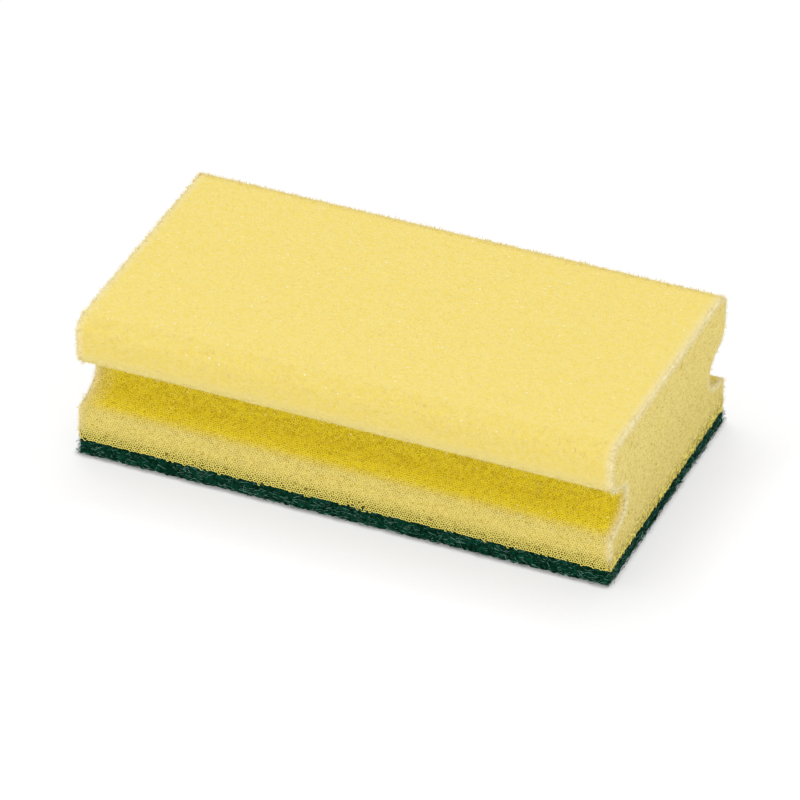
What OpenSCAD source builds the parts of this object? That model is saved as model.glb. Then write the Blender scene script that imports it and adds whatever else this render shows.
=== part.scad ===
// Kitchen sponge with finger grips and a bonded scouring pad.
//
// A block of soft open-cell foam is cut by a shaped blade, so that one section runs the whole length:
// a thick upper slab, a narrower waist and a lower flange. The two grooves beside the waist take the
// fingertips. A thin mat of abrasive fibre is bonded flat to the whole underside of the foam.
//
// X runs along the sponge, Y across its grips and Z up. The origin is on the surface that the sponge
// rests on, under its middle. All sizes are in millimetres.

/* [Sponge] */
// Length of the sponge, from one cut end to the other
sponge_length = 150; // [110:1:190]
// Width of the sponge across its two long sides
sponge_width = 80; // [64:1:110]

/* [Foam] */
// Height of the foam, without the scouring pad
foam_height = 37; // [34:0.5:60]
// Radius of the two long upper edges of the foam
top_edge_radius = 4.5; // [1:0.1:7]

/* [Grip grooves] */
// How far each groove reaches in from the side of the foam
groove_depth = 11; // [9.5:0.1:20]
// Radius of the rounded bottom of each groove
groove_radius = 4.9; // [3:0.1:6]
// Height of each groove's bottom above the underside of the foam, at its middle
groove_height = 16.3; // [12:0.1:20]
// Fall of the lower wall of each groove towards its mouth, in degrees
lower_wall_fall = 14; // [4:1:24]
// Rise of the upper wall of each groove towards its mouth, in degrees
upper_wall_rise = 16; // [4:1:22]
// Radius where the lower wall of each groove turns down into the side
lower_lip_radius = 1.5; // [0.5:0.1:5]
// Radius where the upper wall of each groove turns up into the side
upper_lip_radius = 6.5; // [1:0.1:7.5]

/* [Scouring pad] */
// Thickness of the scouring pad
pad_thickness = 4.5; // [2:0.1:12]

/* [Hidden] */
$fn = 96;

// How far a cut runs past the surface that it breaks through
cut_past = 2;
// Each curve of the section meets its straight neighbours at this small angle instead of touching
// them, so that the line where they meet has one clear place
meeting_angle = 2;

// The section is drawn with its first axis across the sponge, measured from the middle, and its
// second axis up from the underside of the foam.
side = sponge_width / 2;
groove_centre = [side - groove_depth + groove_radius, groove_height];

// Directions that leave each corner of the section along its two edges
down = [0, -1];
up = [0, 1];
inward = [-1, 0];
in_along_lower_wall = [-cos(lower_wall_fall), sin(lower_wall_fall)];
in_along_upper_wall = [-cos(upper_wall_rise), -sin(upper_wall_rise)];

// The straight walls start just inside the rounded bottom of the groove, square to its radius
wall_offset = groove_radius * cos(meeting_angle);
lower_wall_start = groove_centre + wall_offset * [-sin(lower_wall_fall), -cos(lower_wall_fall)];
upper_wall_start = groove_centre + wall_offset * [-sin(upper_wall_rise), cos(upper_wall_rise)];

// A point on a wall of the groove, at a distance across from the middle of the sponge
function lower_wall_at(across) =
    [across, lower_wall_start.y - (across - lower_wall_start.x) * tan(lower_wall_fall)];
function upper_wall_at(across) =
    [across, upper_wall_start.y + (across - upper_wall_start.x) * tan(upper_wall_rise)];

// What a rounding of this radius takes off a convex corner, given the directions of its two edges
module corner_waste(corner, edge_a, edge_b, radius) {
    half_angle = acos(edge_a * edge_b) / 2;
    edge_offset = radius * cos(meeting_angle);
    reach = edge_offset / tan(half_angle);
    middle = (edge_a + edge_b) / norm(edge_a + edge_b);
    centre = corner + middle * edge_offset / sin(half_angle);
    difference() {
        polygon([
            corner - middle * cut_past,
            corner + edge_a * reach,
            centre,
            corner + edge_b * reach
        ]);
        translate(centre) circle(r = radius);
    }
}

// One groove: a rounded bottom with two walls that open towards the mouth
module groove_section() {
    translate(groove_centre) circle(r = groove_radius);
    polygon([
        groove_centre,
        lower_wall_start,
        lower_wall_at(side + cut_past),
        upper_wall_at(side + cut_past),
        upper_wall_start
    ]);
}

// Everything that the blade takes off one side of the block
module side_waste() {
    groove_section();
    corner_waste(lower_wall_at(side), down, in_along_lower_wall, lower_lip_radius);
    corner_waste(upper_wall_at(side), up, in_along_upper_wall, upper_lip_radius);
    corner_waste([side, foam_height], inward, down, top_edge_radius);
}

// The whole section of the foam, the same on both sides
module foam_section() {
    difference() {
        translate([-side, 0]) square([sponge_width, foam_height]);
        side_waste();
        mirror([1, 0]) side_waste();
    }
}

// Runs a section the whole length of the sponge, from a height above the surface it rests on
module run_length(height) {
    translate([0, 0, height])
        rotate([90, 0, 90])
            linear_extrude(height = sponge_length, center = true) children();
}

module foam_block() {
    color([0.95, 0.87, 0.49]) run_length(pad_thickness) foam_section();
}

module scouring_pad() {
    color([0.02, 0.23, 0.16])
        run_length(0) translate([-side, 0]) square([sponge_width, pad_thickness]);
}

foam_block();
scouring_pad();
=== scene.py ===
import math

import bmesh
import bpy
import numpy as np
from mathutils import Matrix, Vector, noise


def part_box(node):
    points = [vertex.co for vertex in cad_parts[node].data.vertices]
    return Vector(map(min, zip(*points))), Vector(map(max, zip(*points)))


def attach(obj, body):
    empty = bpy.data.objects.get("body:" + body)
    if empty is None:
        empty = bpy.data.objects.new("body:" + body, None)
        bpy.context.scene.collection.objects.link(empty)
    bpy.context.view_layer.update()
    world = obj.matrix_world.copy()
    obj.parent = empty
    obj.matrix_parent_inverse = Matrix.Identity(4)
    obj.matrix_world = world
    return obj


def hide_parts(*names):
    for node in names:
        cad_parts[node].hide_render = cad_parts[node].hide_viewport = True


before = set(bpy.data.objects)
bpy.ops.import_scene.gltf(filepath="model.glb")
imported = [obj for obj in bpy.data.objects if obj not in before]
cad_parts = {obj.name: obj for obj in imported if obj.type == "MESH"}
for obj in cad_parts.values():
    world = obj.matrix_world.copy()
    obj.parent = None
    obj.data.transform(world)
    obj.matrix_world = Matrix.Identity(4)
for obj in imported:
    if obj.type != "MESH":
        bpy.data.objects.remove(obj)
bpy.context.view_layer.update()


# Camera
# A long lens from the front right, 35 degrees above the worktop that the sponge lies on.

MM = 0.001
CAMERA_AZIMUTH, CAMERA_ELEVATION = math.radians(23.38), math.radians(34.73)
CAMERA_DISTANCE = 1.794
CAMERA_TARGET = Vector((4.25, -11.19, 20.0)) * MM
PICTURE_WIDTH, LENS_IN_PIXELS, SENSOR_WIDTH = 800, 6910, 36.0

camera_data = bpy.data.cameras.new("camera")
camera_data.sensor_width = SENSOR_WIDTH
camera_data.lens = LENS_IN_PIXELS / PICTURE_WIDTH * SENSOR_WIDTH
camera_data.clip_start, camera_data.clip_end = 0.05, 20.0
camera = bpy.data.objects.new("camera", camera_data)
bpy.context.collection.objects.link(camera)
towards_camera = Vector((
    math.sin(CAMERA_AZIMUTH) * math.cos(CAMERA_ELEVATION),
    -math.cos(CAMERA_AZIMUTH) * math.cos(CAMERA_ELEVATION),
    math.sin(CAMERA_ELEVATION),
))
camera.location = CAMERA_TARGET + towards_camera * CAMERA_DISTANCE
camera.rotation_euler = towards_camera.to_track_quat("Z", "Y").to_euler()
bpy.context.scene.camera = camera
bpy.context.scene.view_settings.view_transform = "Standard"


# Studio
# A white sheet under and behind the sponge, an even white room of light and four large soft lamps, one
# above the front left and one low in front and on each side. The sheet is white but for the shade on it.

ROOM_LIGHT = 0.84
LAMP_SIZE, LAMP_DISTANCE = 1.1, 1.6
LAMPS = (
    ("key_lamp", (-0.32, -0.55, 0.90), 3.65),
    ("front_lamp", (-0.25, -0.95, 0.20), 1.7),
    ("right_lamp", (0.80, -0.45, 0.40), 3.3),
    ("left_lamp", (-0.95, 0.20, 0.45), 2.0),
)
SHEET_SIZE = 6.0
SHEET_GLOW = 0.86
SHEET_WHITE = (0.9, 0.9, 0.9, 1)
SHEET_DIM = (0.17, 0.17, 0.17, 1)
# Each shade on the sheet: how far off it sees the sponge, how open its darkest places are, their tone, and
# which way it looks for the sponge
SHEET_SHADES = (
    (24.5 * MM, 0.52, 0.80, (-0.50, 0.68, 0.50)),
    (1.8 * MM, 0.45, 0.28, (0.25, 0.85, 0.50)),
)


def new_material(name):
    material = bpy.data.materials.new(name)
    material.use_nodes = True
    material.node_tree.nodes.clear()
    return material, material.node_tree.nodes, material.node_tree.links


def seen_directly(nodes, links):
    """1 for a ray from the camera, a mirror or glass, and 0 for light that scatters."""
    path = nodes.new("ShaderNodeLightPath")
    seen = path.outputs["Is Camera Ray"]
    for other in ("Is Glossy Ray", "Is Transmission Ray"):
        either = nodes.new("ShaderNodeMath")
        either.operation = "MAXIMUM"
        links.new(seen, either.inputs[0])
        links.new(path.outputs[other], either.inputs[1])
        seen = either.outputs[0]
    return seen


world = bpy.data.worlds.new("white_room")
world.use_nodes = True
bpy.context.scene.world = world
room_nodes, room_links = world.node_tree.nodes, world.node_tree.links
room_nodes.clear()
room_seen = room_nodes.new("ShaderNodeBackground")
room_seen.inputs["Color"].default_value = (1, 1, 1, 1)
room_lit = room_nodes.new("ShaderNodeBackground")
room_lit.inputs["Color"].default_value = (1, 1, 1, 1)
room_lit.inputs["Strength"].default_value = ROOM_LIGHT
room_mix = room_nodes.new("ShaderNodeMixShader")
room_out = room_nodes.new("ShaderNodeOutputWorld")
room_links.new(seen_directly(room_nodes, room_links), room_mix.inputs[0])
room_links.new(room_lit.outputs[0], room_mix.inputs[1])
room_links.new(room_seen.outputs[0], room_mix.inputs[2])
room_links.new(room_mix.outputs[0], room_out.inputs["Surface"])

for name, direction, power in LAMPS:
    lamp_data = bpy.data.lights.new(name, "AREA")
    lamp_data.shape = "DISK"
    lamp_data.size = LAMP_SIZE
    lamp_data.energy = power
    lamp = bpy.data.objects.new(name, lamp_data)
    bpy.context.collection.objects.link(lamp)
    lamp.location = Vector(direction).normalized() * LAMP_DISTANCE
    lamp.rotation_euler = Vector(direction).to_track_quat("Z", "Y").to_euler()

sheet_bm = bmesh.new()
bmesh.ops.create_grid(sheet_bm, x_segments=1, y_segments=1, size=SHEET_SIZE / 2)
sheet_mesh = bpy.data.meshes.new("white_sheet")
sheet_bm.to_mesh(sheet_mesh)
sheet_bm.free()
sheet = bpy.data.objects.new("white_sheet", sheet_mesh)
bpy.context.collection.objects.link(sheet)
material, nodes, links = new_material("white_sheet")
sheet_paper = nodes.new("ShaderNodeBsdfDiffuse")
sheet_paper.inputs["Color"].default_value = SHEET_WHITE
sheet_dim = nodes.new("ShaderNodeBsdfDiffuse")
sheet_dim.inputs["Color"].default_value = SHEET_DIM
sheet_glow = nodes.new("ShaderNodeEmission")
sheet_glow.inputs["Strength"].default_value = SHEET_GLOW
shades = []
for reach, openness, tone, looking in SHEET_SHADES:
    way = nodes.new("ShaderNodeCombineXYZ")
    for socket, value in zip(way.inputs, Vector(looking).normalized()):
        socket.default_value = value
    near = nodes.new("ShaderNodeAmbientOcclusion")
    near.inputs["Distance"].default_value = reach
    near.samples = 8
    links.new(way.outputs[0], near.inputs["Normal"])
    shade = nodes.new("ShaderNodeMapRange")
    shade.inputs["From Min"].default_value = openness
    shade.inputs["To Min"].default_value = tone
    links.new(near.outputs["AO"], shade.inputs["Value"])
    shades.append(shade.outputs[0])
both_shades = nodes.new("ShaderNodeMath")
both_shades.operation = "MULTIPLY"
links.new(shades[0], both_shades.inputs[0])
links.new(shades[1], both_shades.inputs[1])
links.new(both_shades.outputs[0], sheet_glow.inputs["Color"])
sheet_shown = nodes.new("ShaderNodeAddShader")
sheet_mix = nodes.new("ShaderNodeMixShader")
sheet_out = nodes.new("ShaderNodeOutputMaterial")
links.new(sheet_dim.outputs[0], sheet_shown.inputs[0])
links.new(sheet_glow.outputs[0], sheet_shown.inputs[1])
links.new(seen_directly(nodes, links), sheet_mix.inputs[0])
links.new(sheet_paper.outputs[0], sheet_mix.inputs[1])
links.new(sheet_shown.outputs[0], sheet_mix.inputs[2])
links.new(sheet_mix.outputs[0], sheet_out.inputs["Surface"])
sheet_mesh.materials.append(material)


# Foam block
# Soft open-cell polyurethane foam in one piece, cut to its section by a shaped blade and then across at
# both ends. A finger groove runs along each long side, and the flat underside is glued to the pad.

FOAM_FACE = 0.9 * MM
CELL = 0.70 * MM
CELL_DEPTH = 0.18 * MM
UNEVEN = 0.05 * MM
EDGE_ROUND = 0.5 * MM
EDGE_WORN = 0.42
CELLS_END, CELLS_FULL = 29.5 * MM, 27.0 * MM
MERGE = 0.01 * MM

# Where a colour begins and where it is full, on the way up, out from the middle or along the sponge, with
# its shares there if they aren't none and all
TOP_ROLL = (33.5 * MM, 30.5 * MM, 0.0, 0.6)
ROLL_UNDERSIDE = (30.8 * MM, 28.2 * MM)
BELOW_ROLL = (27.3 * MM, 26.5 * MM)
LOWER_END = (32.0 * MM, 12.0 * MM)
ABOVE_PAD = (10.0 * MM, 4.7 * MM)
UPRIGHT_SIDE = (34.5 * MM, 38.0 * MM)
GROOVE_BOTTOM = (40.0 * MM, 36.0 * MM)
GROOVE_RIGHT = (74.7 * MM, 71.8 * MM)
GROOVE_LEFT = (-74.7 * MM, -67.0 * MM)
END_CUT = (74.2 * MM, 74.6 * MM)

# The same in millimetres from the nearest end rim, which each mesh keeps for its corners
SIDE_RIM = (3.3, 0.2, 0.0, 0.9)
END_RIM = (2.6, 0.4)
HOLES_CLEAR_OF_RIM = (0.5, 2.5)

# Sizes of the blots and the painted glints, and the values of noise and of cells between which each one
# fades in
BLOT_SIZE, BLOTS = 1.1 * MM, (0.38, 0.66)
GROOVE_BLOT_SIZE, GROOVE_BLOTS = 0.7 * MM, (0.38, 0.64)
CELL_SHADE = (0.10, 0.75, 0.0, 0.35)
# Painted shade deeper in some holes: which cells take it, and its least share on the ends
DARK_CELLS, LEAST_DARK_AT_END = (0.25, 0.75), 0.6
GLINT_SPACING, GLINT_SIZE, GLINT_FROM, GLINT_SHARE = 1.7 * MM, 0.13, 0.70, 0.8
CELL_BUMP = 0.20 * MM

PALE_FOAM = (0.930, 0.760, 0.248)
RICH_FOAM = (0.915, 0.725, 0.165)
SHADED_FOAM = (0.870, 0.680, 0.170)
ROLL_FOAM = (0.870, 0.725, 0.265)
# Painted light on the roll's underside, lifting the shade where it turns down
UNDER_ROLL_LIGHT = (1.000, 0.855, 0.300)
# Painted shade: the upright faces of the long sides are a little darker
UPRIGHT_SIDE_SHADE = (0.935, 0.925, 0.860)
# Deeper yellow in the grooves: partly the cut foam's own colour, partly painted bounce light
DEEP_FOAM = (0.990, 0.850, 0.018)
DEEP_PALE = (1.000, 0.865, 0.085)
SIDE_FOAM = (0.960, 0.840, 0.295)
# The ends: partly the cut's own beige, partly painted light lifting them
END_FOAM = (0.995, 0.846, 0.312)
# Painted shade on the ends, darker towards their foot
END_LOW_SHADE = (0.920, 0.780, 0.275)
# Painted glow of light through the thin foam at the end rims, on the sides and on the ends
RIM_GLOW = (0.915, 0.785, 0.410)
END_RIM_GLOW = (0.985, 0.885, 0.530)
# Painted glow of light through thin torn strut ends
THIN_STRUT_GLOW = (0.990, 0.920, 0.600)
# Painted shade in the holes of the cut faces; the struts use the same tint as random grain
HOLE_SHADE_AND_GRAIN = (0.802, 0.728, 0.408)
# Painted shade, deeper, in some of the holes
DEEP_HOLE_SHADE = (0.742, 0.673, 0.372)
# Painted shade near the dark pad, olive
OLIVE_SHADE = (0.075, 0.068, 0.004)
# Painted glints: sparse bright specks where cell walls would catch the light
GLINT = (1.0, 0.97, 0.80)
FUZZ = {"Sheen_Weight": 0.35, "Sheen_Roughness": 0.28, "Sheen_Tint": (1.0, 0.95, 0.75, 1.0)}

foam_low, foam_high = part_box("foam_block")

# Half of the section's outline from its foot up, how far along it each corner is, and the rim to its middle
blade_line = np.array(sorted({
    (round(v.co.y, 7), round(v.co.z, 7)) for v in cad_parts["foam_block"].data.vertices
    if v.co.x > foam_high.x - MERGE and v.co.y > 0
}, key=lambda place: (place[1], -place[0])))
blade_run = np.concatenate([[0], np.cumsum(np.linalg.norm(np.diff(blade_line, axis=0), axis=1))])
blade_rim = np.vstack([blade_line, (0, foam_high.z)])


def piece_of(name, data):
    """A piece of this mesh or curve, at the origin."""
    piece = bpy.data.objects.new(name, data)
    bpy.context.collection.objects.link(piece)
    return piece


def finished_mesh(piece):
    """The mesh that a piece comes to with its modifiers and bevels."""
    graph = bpy.context.evaluated_depsgraph_get()
    return bpy.data.meshes.new_from_object(piece.evaluated_get(graph))


def even_piece(name, node, face_size):
    """A piece of the CAD node's form, its loose triangles joined and turned into small even faces."""
    copy_bm = bmesh.new()
    copy_bm.from_mesh(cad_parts[node].data)
    bmesh.ops.remove_doubles(copy_bm, verts=copy_bm.verts, dist=MERGE)
    mesh = bpy.data.meshes.new(name)
    copy_bm.to_mesh(mesh)
    copy_bm.free()
    piece = piece_of(name, mesh)
    piece.data.materials.clear()
    remesh = piece.modifiers.new("even_faces", "REMESH")
    remesh.mode = "VOXEL"
    remesh.voxel_size = face_size
    remesh.use_smooth_shade = True
    even_mesh = finished_mesh(piece)
    piece.modifiers.clear()
    piece.data = even_mesh
    return piece


def read_all(corners, field):
    """Three numbers for each corner: its place or the way it faces."""
    numbers = np.empty(len(corners) * 3, dtype=np.float32)
    corners.foreach_get(field, numbers)
    return numbers.reshape(-1, 3)


def distance_to_rim(points):
    """How far each point is from the edge that the end cut leaves round the section."""
    places = np.column_stack([np.abs(points[:, 1]), points[:, 2]])
    nearest = np.full(len(places), foam_high.x)
    for start, end in zip(blade_rim[:-1], blade_rim[1:]):
        along = end - start
        share = np.clip((places - start) @ along / (along @ along), 0, 1)
        gap = np.linalg.norm(places - start - share[:, None] * along, axis=1)
        nearest = np.minimum(nearest, gap)
    return np.hypot(nearest, foam_high.x - np.abs(points[:, 0]))


def torn_back(gap):
    """How far the round of a torn edge falls back at this distance inside the edge."""
    short = np.clip(EDGE_ROUND - gap, 0, EDGE_ROUND)
    return EDGE_ROUND - np.sqrt(EDGE_ROUND ** 2 - short ** 2)


def mark_rim(mesh):
    """Keep each corner's distance to the nearest end rim on the mesh, in millimetres."""
    rim = mesh.attributes.new("rim", "FLOAT", "POINT")
    rim.data.foreach_set("value", distance_to_rim(read_all(mesh.vertices, "co")) / MM)


foam = even_piece("foam", "foam_block", FOAM_FACE)
places = read_all(foam.data.vertices, "co")
facing = read_all(foam.data.vertices, "normal")
on_an_end = np.abs(facing[:, 0]) > 0.5
on_the_underside = facing[:, 2] < -0.7
# The sides and ends lie lower, which makes room for the nets that stand on them
sunk = CELL_DEPTH * np.clip((CELLS_END - places[:, 2]) / (CELLS_END - CELLS_FULL), 0, 1)
sunk[on_an_end] = CELL_DEPTH
sunk[on_the_underside] = 0
sunk += EDGE_WORN * np.clip(EDGE_ROUND - distance_to_rim(places), 0, None)
sunk += np.random.default_rng(3).normal(0, UNEVEN, len(sunk))
places -= facing * sunk[:, None]
foam.data.vertices.foreach_set("co", places.ravel())
foam.data.update()
mark_rim(foam.data)


class Nodes:
    """Short hands for the nodes of one material."""

    def __init__(self, name):
        self.material, self.nodes, self.links = new_material(name)
        self.place = self.nodes.new("ShaderNodeTexCoord").outputs["Object"]
        split = self.nodes.new("ShaderNodeSeparateXYZ")
        self.links.new(self.place, split.inputs[0])
        self.x, self.y, self.z = split.outputs

    def sums(self, operation, *values):
        """One Math node on sockets and plain numbers."""
        node = self.nodes.new("ShaderNodeMath")
        node.operation = operation
        for socket, value in zip(node.inputs, values):
            if isinstance(value, (int, float)):
                socket.default_value = value
            else:
                self.links.new(value, socket)
        return node.outputs[0]

    def product(self, first, *others):
        """All these values multiplied."""
        for other in others:
            first = self.sums("MULTIPLY", first, other)
        return first

    def ramp(self, value, start, end, low=0.0, high=1.0):
        """A soft step of a value from start to end."""
        node = self.nodes.new("ShaderNodeMapRange")
        node.interpolation_type = "SMOOTHSTEP"
        self.links.new(value, node.inputs["Value"])
        node.inputs["From Min"].default_value = start
        node.inputs["From Max"].default_value = end
        node.inputs["To Min"].default_value = low
        node.inputs["To Max"].default_value = high
        return node.outputs[0]

    def noise(self, size, detail=2.0):
        """Soft noise whose blots are about this size."""
        node = self.nodes.new("ShaderNodeTexNoise")
        node.inputs["Scale"].default_value = 1 / size
        node.inputs["Detail"].default_value = detail
        self.links.new(self.place, node.inputs["Vector"])
        return node.outputs["Fac"]

    def cells(self, size, output="Distance"):
        """Round cells about this far apart: the way to the middle of each, or a value of its own."""
        node = self.nodes.new("ShaderNodeTexVoronoi")
        node.inputs["Scale"].default_value = 1 / size
        self.links.new(self.place, node.inputs["Vector"])
        return node.outputs[output]

    def mix(self, share, first, second, blend="MIX"):
        """One colour over another; colours are tuples or sockets."""
        node = self.nodes.new("ShaderNodeMix")
        node.data_type = "RGBA"
        node.blend_type = blend
        for socket, value in ((node.inputs[0], share), (node.inputs[6], first), (node.inputs[7], second)):
            if isinstance(value, tuple):
                socket.default_value = (*value, 1)
            elif isinstance(value, (int, float)):
                socket.default_value = value
            else:
                self.links.new(value, socket)
        return node.outputs[2]

    def tinted(self, share, colour, tint):
        """A colour deepened by a tint where share says so."""
        return self.mix(share, colour, self.mix(1.0, colour, tint, "MULTIPLY"))

    def attribute(self, name):
        node = self.nodes.new("ShaderNodeAttribute")
        node.attribute_name = name
        return node.outputs["Fac"]

    def shader(self, colour, roughness, height=None, bump=0.0, **constants):
        """The principled shader with a colour, an optional bump and constants by socket name."""
        node = self.nodes.new("ShaderNodeBsdfPrincipled")
        out = self.nodes.new("ShaderNodeOutputMaterial")
        self.links.new(colour, node.inputs["Base Color"])
        node.inputs["Roughness"].default_value = roughness
        for name, value in constants.items():
            node.inputs[name.replace("_", " ")].default_value = value
        if height:
            relief = self.nodes.new("ShaderNodeBump")
            relief.inputs["Distance"].default_value = bump
            self.links.new(height, relief.inputs["Height"])
            self.links.new(relief.outputs[0], node.inputs["Normal"])
        self.links.new(node.outputs[0], out.inputs["Surface"])
        return self.material


class FoamNodes(Nodes):
    """The nodes of one foam finish, with where each place lies on the sponge."""

    def __init__(self, name):
        super().__init__(name)
        self.across = self.sums("ABSOLUTE", self.y)
        self.along = self.sums("ABSOLUTE", self.x)
        self.rim = self.attribute("rim")
        self.low = self.ramp(self.z, *BELOW_ROLL)
        self.at_end = self.ramp(self.along, *END_CUT)
        self.near_pad = self.ramp(self.z, *ABOVE_PAD)
        self.cell = self.cells(CELL)

    def own_colour(self, torn=0.0):
        """Pale on top and deeper in the grooves, with painted light and shade; torn foam is paler by its
        share, a painted glow.
        """
        colour = self.mix(self.ramp(self.noise(BLOT_SIZE, 3.0), *BLOTS), PALE_FOAM, RICH_FOAM)
        colour = self.mix(self.ramp(self.cell, *CELL_SHADE), colour, SHADED_FOAM)
        # Painted shade on the upright faces of the long sides
        colour = self.tinted(self.ramp(self.across, *UPRIGHT_SIDE), colour, UPRIGHT_SIDE_SHADE)
        colour = self.mix(self.ramp(self.z, *TOP_ROLL), colour, ROLL_FOAM)
        # Painted light on the roll's underside
        colour = self.mix(self.ramp(self.z, *ROLL_UNDERSIDE), colour, UNDER_ROLL_LIGHT)
        # Torn foam is paler: a painted glow of light through thin struts
        colour = self.mix(torn, colour, THIN_STRUT_GLOW)
        colour = self.mix(self.low, colour, SIDE_FOAM)
        # Deeper yellow in the grooves: partly the foam's own colour, partly painted bounce light
        groove = self.product(
            self.ramp(self.across, *GROOVE_BOTTOM), self.low,
            # Fading out towards both ends, wider at the left: painted light coming in from the left
            self.ramp(self.x, *GROOVE_RIGHT), self.ramp(self.x, *GROOVE_LEFT),
        )
        groove_blots = self.ramp(self.noise(GROOVE_BLOT_SIZE, 3.0), *GROOVE_BLOTS)
        colour = self.mix(groove, colour, self.mix(groove_blots, DEEP_FOAM, DEEP_PALE))
        # Painted glow at the end rims
        colour = self.mix(self.ramp(self.rim, *SIDE_RIM), colour, RIM_GLOW)
        # The ends: painted light, and painted shade darker towards their foot
        end_colour = self.mix(self.ramp(self.z, *LOWER_END), END_FOAM, END_LOW_SHADE)
        end_colour = self.mix(self.ramp(self.rim, *END_RIM), end_colour, END_RIM_GLOW)
        return self.mix(self.at_end, colour, end_colour)


def foam_finish(name):
    """Foam as it shows on top, and in the holes of its cut sides: painted shade there, olive near the pad,
    and painted glints.
    """
    n = FoamNodes(name)
    # Painted shade in the holes of the cut sides and ends, clear of the rims
    holes = n.product(n.sums("MAXIMUM", n.low, n.at_end), n.ramp(n.rim, *HOLES_CLEAR_OF_RIM))
    colour = n.tinted(holes, n.own_colour(), HOLE_SHADE_AND_GRAIN)
    # Painted shade deeper in some holes, and in most of them on the ends
    shaded_cell = n.ramp(n.cells(CELL, output="Color"), *DARK_CELLS)
    shaded_cell = n.sums("MAXIMUM", shaded_cell, n.product(n.at_end, LEAST_DARK_AT_END))
    colour = n.tinted(n.product(holes, shaded_cell), colour, DEEP_HOLE_SHADE)
    # Olive painted shade near the pad, whose dark fibre gives the foam there no bounce light
    colour = n.mix(n.near_pad, colour, OLIVE_SHADE)
    # Painted glints: sparse bright specks of light on cell walls
    glint_spot = n.sums("LESS_THAN", n.cells(GLINT_SPACING), GLINT_SIZE)
    glint_there = n.sums("GREATER_THAN", n.cells(GLINT_SPACING, output="Color"), GLINT_FROM)
    colour = n.mix(n.product(glint_spot, glint_there, GLINT_SHARE), colour, GLINT)
    relief = n.sums("SUBTRACT", 1.0, n.cell)
    return n.shader(colour, 0.85, relief, CELL_BUMP, Specular_IOR_Level=0.25, **FUZZ)


foam.data.materials.append(foam_finish("yellow_foam"))
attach(foam, "root")
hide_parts("foam_block")


# Cut cells
# The blades leave the foam's cells open, so each cut is a net of fine struts round small holes. The nets
# stand over the sides up to the top roll and over both ends, and fall back at the worn end rims.

STRUT = 0.25 * MM
LOOSE = 0.20
TORN = 0.03
ROW_STEP, ROW_SLIP = 0.866, 0.25
OVERHANG = 0.20 * MM
RAGGED_WAVES, RAGGED_REACH = 1.4, 2.2
SHORT_OF_EDGE = 0.2 * EDGE_ROUND
SIDE_SQUEEZE_FROM, SIDE_SQUEEZE = 0.2 * MM, 0.2
RIM_INSET = 0.55 * MM
RIM_FALL = 0.3
SLIVER = 0.005 * MM

# Painted light on the struts near the pad, and its share
LOW_STRUT_LIGHT = (0.995, 0.865, 0.190)
LOW_SHARE = 0.9
# Painted shade in deep cells and on sunken struts along the ends' foot
DEEP_END_SHADE = (0.300, 0.210, 0.045)
DEEP_SPACING, DEEP_CELLS, LEAST_DEEP = 0.60 * MM, (0.44, 0.60), 0.20
STRUTS_CLEAR_OF_RIM = (0.5, 1.5)
BEHIND_END = (74.93 * MM, 74.85 * MM)
END_FOOT = (12.0 * MM, 4.5 * MM, 0.05, 0.60)
END_FOOT_INSIDE = (9.5 * MM, 4.6 * MM, 0.08, 0.95)
GRAIN_SIZE, GRAIN = 0.45 * MM, (0.45, 0.62, 0.0, 0.6)


def strut_finish(name, torn=0.0):
    """Cut struts: painted light near the pad, painted olive shade on their sunken flanks and painted shade
    in some deep cells along the ends' foot.
    """
    n = FoamNodes(name)
    # Painted light that lifts the struts near the pad out of their shade
    colour = n.mix(n.product(n.near_pad, LOW_SHARE), n.own_colour(torn), LOW_STRUT_LIGHT)
    deep_cell = n.ramp(n.cells(DEEP_SPACING, output="Color"), *DEEP_CELLS)
    deep_cell = n.product(deep_cell, n.at_end, n.ramp(n.rim, *STRUTS_CLEAR_OF_RIM))
    # Olive painted shade on the sunken parts of the end struts at their foot
    inside = n.product(
        n.ramp(n.along, *BEHIND_END), n.at_end,
        n.sums("MAXIMUM", deep_cell, LEAST_DEEP), n.ramp(n.z, *END_FOOT_INSIDE),
    )
    colour = n.mix(inside, colour, OLIVE_SHADE)
    # Dark painted shade in some deep cells at the ends' foot
    colour = n.mix(n.product(deep_cell, n.ramp(n.z, *END_FOOT)), colour, DEEP_END_SHADE)
    # Random grain on the struts, with the same tint as the holes' painted shade
    colour = n.tinted(n.ramp(n.noise(GRAIN_SIZE), *GRAIN), colour, HOLE_SHADE_AND_GRAIN)
    return n.shader(colour, 0.7, Specular_IOR_Level=0.3, **FUZZ)


def net_of_cells(width, height, seed):
    """Flat net of open cells about the origin, most of them with five to seven sides."""
    random = np.random.default_rng(seed)
    columns, rows = round(width / CELL), round(height / (CELL * ROW_STEP))
    net = bmesh.new()
    bmesh.ops.create_grid(net, x_segments=columns, y_segments=rows, size=0.5)
    for vert in net.verts:
        row = round((vert.co.y + 0.5) * rows)
        slip = ROW_SLIP if row % 2 else -ROW_SLIP
        vert.co.x = (vert.co.x + slip / columns) * width + random.normal(0, LOOSE) * CELL
        vert.co.y = vert.co.y * height + random.normal(0, LOOSE) * CELL
    bmesh.ops.triangulate(net, faces=net.faces[:], quad_method="SHORT_EDGE")
    bmesh.ops.beautify_fill(net, faces=net.faces[:], edges=net.edges[:])
    middles = net.verts[:]
    inner_edges = [edge for edge in net.edges if not edge.is_boundary]
    bmesh.ops.poke(net, faces=net.faces[:])
    bmesh.ops.rotate_edges(net, edges=inner_edges)
    bmesh.ops.delete(net, geom=[vert for vert in middles if vert.is_boundary], context="VERTS")
    bmesh.ops.dissolve_verts(net, verts=[vert for vert in middles if vert.is_valid])
    torn = [edge for edge in net.edges if not edge.is_boundary and random.random() < TORN]
    bmesh.ops.dissolve_edges(net, edges=torn)
    return net


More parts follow.
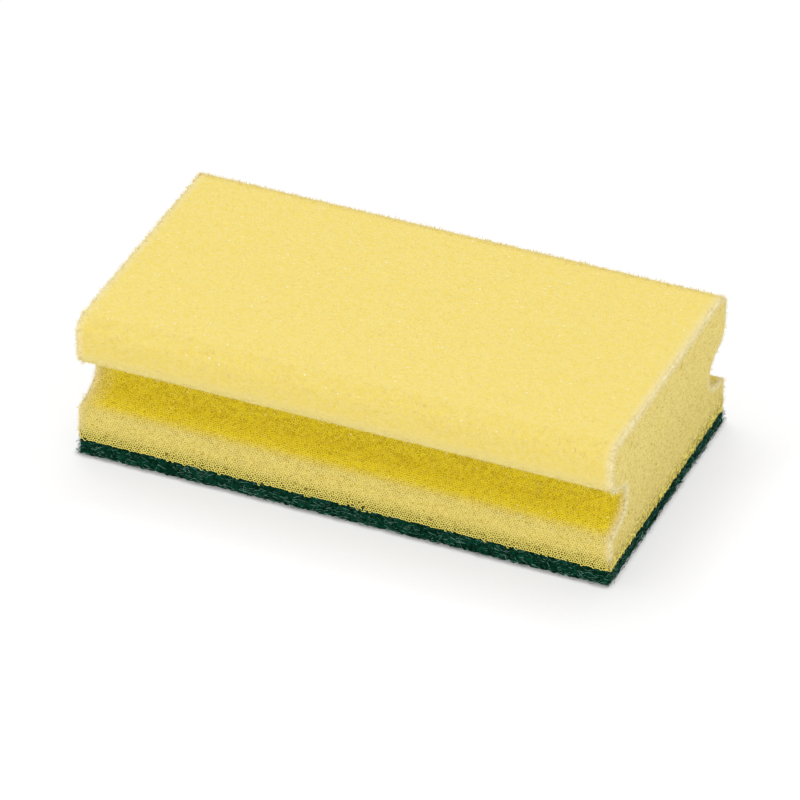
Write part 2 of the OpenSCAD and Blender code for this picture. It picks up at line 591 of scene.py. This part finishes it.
def ragged_edge(centre):
    """How much farther, or less far, a net reaches at this place on its edge."""
    return noise.noise(centre * RAGGED_WAVES / CELL) * RAGGED_REACH * OVERHANG


def raise_struts(net, keep):
    """Cut the holes out of a flat net and leave the struts as ridges; keep says which cells are there."""
    outside = [face for face in net.faces if not keep(face.calc_center_median())]
    bmesh.ops.delete(net, geom=outside, context="FACES")
    holes = net.faces[:]
    bmesh.ops.inset_individual(net, faces=holes, thickness=STRUT / 2, depth=-CELL_DEPTH)
    bmesh.ops.delete(net, geom=holes, context="FACES_ONLY")


def net_piece(name, nets):
    """One piece of flat nets, each with the function that gives its points their place."""
    mesh = bpy.data.meshes.new(name)
    whole = bmesh.new()
    for net, place in nets:
        flat = bpy.data.meshes.new(name + "_flat")
        net.to_mesh(flat)
        net.free()
        points = place(read_all(flat.vertices, "co"))
        flat.vertices.foreach_set("co", points.astype(np.float32).ravel())
        whole.from_mesh(flat)
        bpy.data.meshes.remove(flat)
    bmesh.ops.dissolve_degenerate(whole, dist=SLIVER, edges=whole.edges[:])
    for face in whole.faces:
        face.smooth = True
    whole.to_mesh(mesh)
    whole.free()
    mark_rim(mesh)
    mesh.materials.append(yellow_struts)
    piece = piece_of(name, mesh)
    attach(piece, "root")


yellow_struts = strut_finish("yellow_struts")
side_length = float(np.interp(CELLS_END, blade_line[:, 1], blade_run))
blade_slope = np.gradient(blade_line, blade_run, axis=0)


def over_the_side(side):
    """Places a flat net over one long side, its ragged lower edge hanging a little over the pad."""
    def place(points):
        run = points[:, 1] + side_length / 2
        hanging = np.minimum(run, 0)
        run = np.clip(run, 0, blade_run[-1])
        spot = [np.interp(run, blade_run, blade_line[:, axis]) for axis in (0, 1)]
        slope = [np.interp(run, blade_run, blade_slope[:, axis]) for axis in (0, 1)]
        proud = points[:, 2] - torn_back(foam_high.x - np.abs(points[:, 0]))
        across = side * (spot[0] + slope[1] * proud)
        up = spot[1] - slope[0] * proud + hanging
        within = np.clip(points[:, 0], foam_low.x + SIDE_SQUEEZE_FROM, foam_high.x - SIDE_SQUEEZE_FROM)
        along = within + SIDE_SQUEEZE * (points[:, 0] - within)
        return np.column_stack([-side * along, across, up])
    return place


def side_cells(centre):
    """Cells inside the side, and about half of those whose middle is just outside its edges."""
    ragged = ragged_edge(centre)
    inside = abs(centre.x) < foam_high.x - SHORT_OF_EDGE + ragged
    return inside and -side_length / 2 - ragged < centre.y < side_length / 2


for name, side, seed in (("foam_cells_front", -1, 11), ("foam_cells_back", 1, 12)):
    net = net_of_cells(foam_high.x - foam_low.x + 4 * CELL, side_length + 4 * CELL, seed)
    raise_struts(net, side_cells)
    net_piece(name, [(net, over_the_side(side))])


def over_the_end(end):
    """Places a flat net over one end, drawn in and fallen back round its rim."""
    def place(points):
        up = points[:, 1] + (foam_low.z + foam_high.z) / 2
        reach = np.interp(up, blade_line[:, 1], blade_line[:, 0])
        across = end * np.clip(points[:, 0], -reach, reach)
        up = np.minimum(up, foam_high.z)
        gap = distance_to_rim(np.column_stack([np.full(len(up), foam_high.x), across, up]))
        across = np.clip(across, -reach + RIM_INSET, reach - RIM_INSET)
        up = np.minimum(up, foam_high.z - RIM_INSET)
        fallen = torn_back(gap) + RIM_FALL * np.clip(2 * EDGE_ROUND - gap, 0, None)
        return np.column_stack([end * (foam_high.x + points[:, 2] - fallen), across, up])
    return place


def in_the_section(centre):
    """Cells inside the section, and about half of those whose middle is just outside its edges."""
    up = centre.y + (foam_low.z + foam_high.z) / 2
    ragged = ragged_edge(centre)
    reach = np.interp(up, blade_line[:, 1], blade_line[:, 0]) - SHORT_OF_EDGE + ragged
    under_top = up < foam_high.z - SHORT_OF_EDGE + ragged
    return foam_low.z - ragged < up and under_top and abs(centre.x) < reach


end_nets = []
for end, seed in ((-1, 13), (1, 14)):
    net = net_of_cells(foam_high.y - foam_low.y + 2 * CELL, foam_high.z - foam_low.z + 2 * CELL, seed)
    raise_struts(net, in_the_section)
    end_nets.append((net, over_the_end(end)))
net_piece("foam_cells_ends", end_nets)


# Torn cell walls
# Where the blades pass over an edge they leave short broken strut ends standing out of the foam, which
# blur its outline.

FRAY_COUNT = 14500
FRAY_LENGTH = 0.52 * MM
FRAY_RADIUS = 0.070 * MM
FRAY_ROOT = 0.3 * MM
FRAY_TILT, FRAY_SCATTER = 0.55, 0.25 * MM
FRAY_ABOVE_TOP, FRAY_BARE_FOOT = 1.0 * MM, 1.0 * MM
# Share of the painted glow on the torn ends
FRAY_GLOW_SHARE = 0.6
THIN_END = 0.45

# How crowded the torn ends are in each place, and how many millimetres in from a rim they thin out
FRAY_ANYWHERE, FRAY_ON_ROLL, FRAY_ON_TOP_EDGE, FRAY_AT_RIM = 0.04, 0.08, 0.20, 2.2
RIM_BAND, RIM_LONGER = 0.7, 0.7
ROLL_FROM, TOP_EDGE_FROM, TOP_EDGE_OUT = 27 * MM, 36 * MM, 35 * MM


def strands(name, paths, radius, tint):
    """One piece of thin square fibres along many paths of equally many points, each with its own tint."""
    curve = bpy.data.curves.new(name, "CURVE")
    curve.dimensions = "3D"
    curve.bevel_depth = radius
    curve.bevel_resolution = 0
    count, points = paths.shape[:2]
    taper = np.linspace(1.0, THIN_END, points)
    path_ends = np.ones((count, points, 4))
    path_ends[:, :, :3] = paths
    for path in path_ends:
        spline = curve.splines.new("POLY")
        spline.points.add(points - 1)
        spline.points.foreach_set("co", path.ravel())
        spline.points.foreach_set("radius", taper)
    whole_curve = piece_of(name, curve)
    mesh = finished_mesh(whole_curve)
    bpy.data.objects.remove(whole_curve)
    corners_each = len(mesh.vertices) // count
    tints = mesh.attributes.new("tint", "FLOAT", "POINT")
    tints.data.foreach_set("value", np.repeat(tint, corners_each))
    return piece_of(name, mesh)


random = np.random.default_rng(21)
places = read_all(foam.data.vertices, "co")
facing = read_all(foam.data.vertices, "normal")
rim_gap = distance_to_rim(places) / MM
on_roll = (places[:, 2] > ROLL_FROM) & (facing[:, 2] < 0.85)
on_top_edge = (places[:, 2] > TOP_EDGE_FROM) & (facing[:, 2] > 0.10) & (np.abs(places[:, 1]) > TOP_EDGE_OUT)
more_at_back = 1.5 + np.sign(places[:, 1])
crowd = FRAY_ANYWHERE + FRAY_ON_ROLL * on_roll + FRAY_ON_TOP_EDGE * on_top_edge * more_at_back
crowd += FRAY_AT_RIM * np.exp(-rim_gap / RIM_BAND)
crowd[places[:, 2] < foam_low.z + FRAY_BARE_FOOT] = 0
roots = random.choice(len(places), FRAY_COUNT, p=crowd / crowd.sum())
way = facing[roots] + random.normal(0, FRAY_TILT, (FRAY_COUNT, 3))
way /= np.linalg.norm(way, axis=1)[:, None]
start = places[roots] + random.normal(0, FRAY_SCATTER, (FRAY_COUNT, 3))
longer = 1 + RIM_LONGER * np.exp(-rim_gap[roots] / RIM_BAND)
reach = way * (FRAY_LENGTH * longer * random.uniform(0.5, 1.3, FRAY_COUNT))[:, None]
paths = np.stack([start - way * FRAY_ROOT, start + reach], axis=1)
paths[:, :, 2] = np.minimum(paths[:, :, 2], foam_high.z + FRAY_ABOVE_TOP)
fray = strands("foam_fray", paths, FRAY_RADIUS, random.uniform(0, 1, FRAY_COUNT))
mark_rim(fray.data)
fray.data.materials.append(strut_finish("yellow_torn_ends", torn=FRAY_GLOW_SHARE))
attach(fray, "root")


# Scouring pad
# A flat mat of nylon fibre and abrasive grit held by resin, bonded to the whole underside of the foam.

PAD_FACE = 0.8 * MM
PAD_BARE = 0.10 * MM
PAD_FLARE = 0.45 * MM
PAD_RAGGED = 0.22 * MM
PAD_TOP_SHARE = 0.2
PAD_OFF_FLOOR = 0.05 * MM
PAD_GRAIN, PAD_BUMP = 0.5 * MM, 0.3 * MM
RESIN_BLOT_SIZE, RESIN_BLOTS = 0.9 * MM, (0.35, 0.7)
BARE_TINTS = (0.45, 1.0)

DARK_GREEN = (0.000, 0.015, 0.006)
RESIN_GREEN = (0.003, 0.060, 0.033)
BARE_FIBRE = (0.190, 0.420, 0.330)

pad_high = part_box("scouring_pad")[1]
pad = even_piece("pad", "scouring_pad", PAD_FACE)
random = np.random.default_rng(31)
places = read_all(pad.data.vertices, "co")
facing = read_all(pad.data.vertices, "normal")
bare = PAD_BARE + random.normal(0, PAD_RAGGED, len(places))
on_the_top = facing[:, 2] > 0.5
bare[on_the_top] *= PAD_TOP_SHARE
places -= facing * bare[:, None]
spread = 1 + PAD_FLARE * (0.5 - places[:, 2] / pad_high.z)[:, None] / np.array((pad_high.x, pad_high.y))
places[:, :2] *= spread
places[:, 2] = np.maximum(places[:, 2], PAD_OFF_FLOOR)
pad.data.vertices.foreach_set("co", places.ravel())
pad.data.update()


def pad_finish(name, has_bare_fibres):
    """Dark green resin over nylon, lighter where a fibre shows bare."""
    n = Nodes(name)
    colour = n.mix(n.ramp(n.noise(RESIN_BLOT_SIZE, 3.0), *RESIN_BLOTS), DARK_GREEN, RESIN_GREEN)
    if has_bare_fibres:
        colour = n.mix(n.ramp(n.attribute("tint"), *BARE_TINTS), colour, BARE_FIBRE)
        return n.shader(colour, 0.7, Specular_IOR_Level=0.12)
    return n.shader(colour, 0.9, n.noise(PAD_GRAIN), PAD_BUMP, Specular_IOR_Level=0.05)


pad.data.materials.append(pad_finish("green_fibre", False))
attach(pad, "root")
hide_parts("scouring_pad")


# Pad fibres
# Crimped nylon fibres lie every way through the mat. Their cut ends stand out along its four sides, and
# they cross flat over the scouring face underneath.

FIBRE_COUNT, FACE_FIBRES = 6200, 2600
FIBRE_RADIUS = 0.060 * MM
FIBRE_POINTS = 4
FIBRES_PAST_END, FIBRES_PAST_SIDE = 0.70 * MM, 0.90 * MM
FIBRES_OFF_FLOOR, FIBRE_TOP = 1.2 * FIBRE_RADIUS, 4.8 * MM
FACE_FIBRES_INSIDE = 1.5 * MM

half_long, half_wide = pad_high.x, pad_high.y
upwards = np.array((0, 0, 1))


def bowed(middle, along, bow):
    """Paths through their middles, each bent sideways by its bow."""
    share = np.linspace(-0.5, 0.5, FIBRE_POINTS)[None, :, None]
    return middle[:, None] + share * along[:, None] + (0.25 - share * share) * bow[:, None]


def fibre_piece(name, paths, tint):
    """A piece of fibres that keep near the pad and off the floor."""
    for axis, limit in ((0, half_long + FIBRES_PAST_END), (1, half_wide + FIBRES_PAST_SIDE)):
        paths[:, :, axis] = np.clip(paths[:, :, axis], -limit, limit)
    paths[:, :, 2] = np.clip(paths[:, :, 2], FIBRES_OFF_FLOOR, FIBRE_TOP)
    piece = strands(name, paths, FIBRE_RADIUS, tint)
    piece.data.materials.append(fibre_finish)
    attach(piece, "root")


fibre_finish = pad_finish("green_fibre_ends", True)

# Round the four sides: 0 and 2 are the front and the back, 1 and 3 the ends
random = np.random.default_rng(41)
step = random.uniform(0, 4 * (half_long + half_wide), FIBRE_COUNT)
side = np.searchsorted(np.cumsum([2 * half_long, 2 * half_wide, 2 * half_long]), step)
out_way = np.array([(0, -1, 0), (1, 0, 0), (0, 1, 0), (-1, 0, 0)])[side]
run_way = np.array([(1, 0, 0), (0, 1, 0), (-1, 0, 0), (0, -1, 0)])[side]
spot = random.uniform(-1, 1, FIBRE_COUNT) * np.where(side % 2 == 0, half_long, half_wide)
height = random.uniform(0.1, 4.4, FIBRE_COUNT) * MM
inset = random.uniform(-0.15, 0.50, FIBRE_COUNT) * MM
inset -= (height < 0.8 * MM) * (side % 2 == 0) * random.uniform(0.0, 0.5, FIBRE_COUNT) * MM
out = np.where(side % 2 == 0, half_wide, half_long) - inset + PAD_FLARE * (0.5 - height / pad_high.z)
length = random.uniform(0.9, 3.0, FIBRE_COUNT)[:, None] * MM
tilt = random.normal(0, 0.50, FIBRE_COUNT)[:, None]
lean = random.normal(0.03, 0.18, FIBRE_COUNT)[:, None]
bow = random.normal(0, 0.35, (FIBRE_COUNT, 2)) * MM
middle = run_way * spot[:, None] + out_way * out[:, None] + upwards * height[:, None]
along = (run_way * np.cos(tilt) + upwards * np.sin(tilt) + out_way * lean) * length
bow = out_way * bow[:, :1] + upwards * bow[:, 1:]
fibre_piece("pad_fibres", bowed(middle, along, bow), random.uniform(0, 1, FIBRE_COUNT))

# Over the scouring face
random = np.random.default_rng(42)
turn = random.uniform(0, math.tau, FACE_FIBRES)
across_way = np.column_stack([-np.sin(turn), np.cos(turn), np.zeros(FACE_FIBRES)])
middle = np.column_stack([
    random.uniform(-1, 1, FACE_FIBRES) * (half_long - FACE_FIBRES_INSIDE),
    random.uniform(-1, 1, FACE_FIBRES) * (half_wide - FACE_FIBRES_INSIDE),
    random.uniform(0.05, 0.35, FACE_FIBRES) * MM,
])
along = np.column_stack([np.cos(turn), np.sin(turn), random.normal(0, 0.04, FACE_FIBRES)])
along *= random.uniform(2.5, 7.0, FACE_FIBRES)[:, None] * MM
bow = across_way * random.normal(0, 3.0, FACE_FIBRES)[:, None] * MM
fibre_piece("pad_face_fibres", bowed(middle, along, bow), random.uniform(0, 1, FACE_FIBRES))
